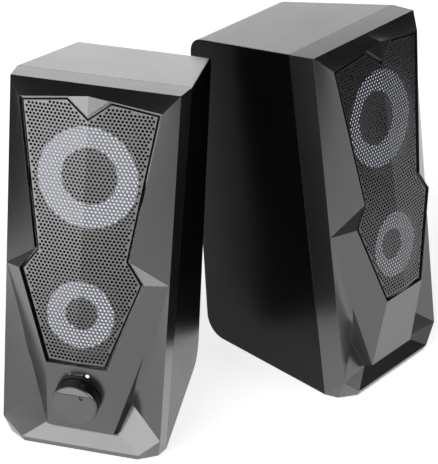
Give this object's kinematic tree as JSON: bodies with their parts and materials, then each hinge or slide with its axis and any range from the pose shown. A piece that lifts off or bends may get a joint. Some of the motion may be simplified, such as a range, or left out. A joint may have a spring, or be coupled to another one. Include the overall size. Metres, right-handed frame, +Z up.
{
  "type": "desktop speakers",
  "caption": "Pair of two-way desktop speakers with faceted bezels and folded metal grilles; one speaker carries a turning volume knob.",
  "frame": {"origin": "middle of the pair's footprint, on the desk under the feet", "axes": "+Z up, +X along the row from the powered speaker on the left to the other one, +Y away from the listener"},
  "size_m": [0.2418, 0.2018, 0.2024],
  "materials": {
    "cabinet_plastic": "satin black moulded box",
    "bezel_plastic": "satin dark grey moulding",
    "grille_steel": "dark grey powder coat",
    "foot_rubber": "matt",
    "basket_steel": "black",
    "motor_steel": "zinc plated",
    "ferrite": "matt ferrite",
    "cone_paper": "pale grey coated cone",
    "cap_paper": "black",
    "copper_coil": "coil on its former",
    "surround_rubber": "matt",
    "spider_cloth": "treated cloth",
    "screw_steel": "black zinc",
    "knob_plastic": "satin dark grey face",
    "pot_case": "plated",
    "circuit_board": "green board",
    "light_lens": "clear white lens",
    "socket_plastic": "black"
  },
  "bodies": {
    "speakers": {"main_cabinet": "cabinet_plastic", "main_feet": "foot_rubber", "main_bezel": "bezel_plastic", "main_grille": "grille_steel", "main_woofer_basket": "basket_steel", "main_woofer_top_plate": "motor_steel", "main_woofer_magnet": "ferrite", "main_woofer_yoke": "motor_steel", "main_woofer_surround": "surround_rubber", "main_woofer_spider": "spider_cloth", "main_woofer_screws": "screw_steel", "main_tweeter_basket": "basket_steel", "main_tweeter_top_plate": "motor_steel", "main_tweeter_magnet": "ferrite", "main_tweeter_yoke": "motor_steel", "main_tweeter_surround": "surround_rubber", "main_tweeter_screws": "screw_steel", "main_potentiometer": "pot_case", "main_potentiometer_nut": "screw_steel", "main_control_board": "circuit_board", "main_power_light": "light_lens", "main_amplifier_board": "circuit_board", "main_audio_socket": "socket_plastic", "main_power_socket": "socket_plastic", "main_link_socket": "socket_plastic", "satellite_cabinet": "cabinet_plastic", "satellite_feet": "foot_rubber", "satellite_bezel": "bezel_plastic", "satellite_grille": "grille_steel", "satellite_woofer_basket": "basket_steel", "satellite_woofer_top_plate": "motor_steel", "satellite_woofer_magnet": "ferrite", "satellite_woofer_yoke": "motor_steel", "satellite_woofer_surround": "surround_rubber", "satellite_woofer_spider": "spider_cloth", "satellite_woofer_screws": "screw_steel", "satellite_tweeter_basket": "basket_steel", "satellite_tweeter_top_plate": "motor_steel", "satellite_tweeter_magnet": "ferrite", "satellite_tweeter_yoke": "motor_steel", "satellite_tweeter_surround": "surround_rubber", "satellite_tweeter_screws": "screw_steel", "satellite_link_socket": "socket_plastic"},
    "main_woofer_moving": {"main_woofer_cone": "cone_paper", "main_woofer_dust_cap": "cap_paper", "main_woofer_voice_coil": "copper_coil"},
    "main_tweeter_moving": {"main_tweeter_cone": "cone_paper", "main_tweeter_dust_cap": "cap_paper", "main_tweeter_voice_coil": "copper_coil"},
    "satellite_woofer_moving": {"satellite_woofer_cone": "cone_paper", "satellite_woofer_dust_cap": "cap_paper", "satellite_woofer_voice_coil": "copper_coil"},
    "satellite_tweeter_moving": {"satellite_tweeter_cone": "cone_paper", "satellite_tweeter_dust_cap": "cap_paper", "satellite_tweeter_voice_coil": "copper_coil"},
    "volume_control": {"main_volume_knob": "knob_plastic", "main_volume_shaft": "motor_steel"}
  },
  "joints": [
    {"name": "main_woofer_travel", "type": "slide", "parent": "speakers", "child": "main_woofer_moving", "axis": [-0.2457, -0.9501, 0.1924], "range_m": [-0.0015, 0.0015], "stiffness_N_per_m": 800, "deforming": ["main_woofer_surround", "main_woofer_spider"]},
    {"name": "main_tweeter_travel", "type": "slide", "parent": "speakers", "child": "main_tweeter_moving", "axis": [-0.2457, -0.9501, 0.1924], "range_m": [-0.001, 0.001], "stiffness_N_per_m": 600, "deforming": ["main_tweeter_surround"]},
    {"name": "satellite_woofer_travel", "type": "slide", "parent": "speakers", "child": "satellite_woofer_moving", "axis": [0.7539, -0.6282, 0.1924], "range_m": [-0.0015, 0.0015], "stiffness_N_per_m": 800, "deforming": ["satellite_woofer_surround", "satellite_woofer_spider"]},
    {"name": "satellite_tweeter_travel", "type": "slide", "parent": "speakers", "child": "satellite_tweeter_moving", "axis": [0.7539, -0.6282, 0.1924], "range_m": [-0.001, 0.001], "stiffness_N_per_m": 600, "deforming": ["satellite_tweeter_surround"]},
    {"name": "volume_turn", "type": "hinge", "parent": "speakers", "child": "volume_control", "pos_m": [-0.07942, -0.09139, 0.0368], "axis": [-0.2482, -0.9599, -0.1305], "range_deg": [-105, 195]}
  ]
}
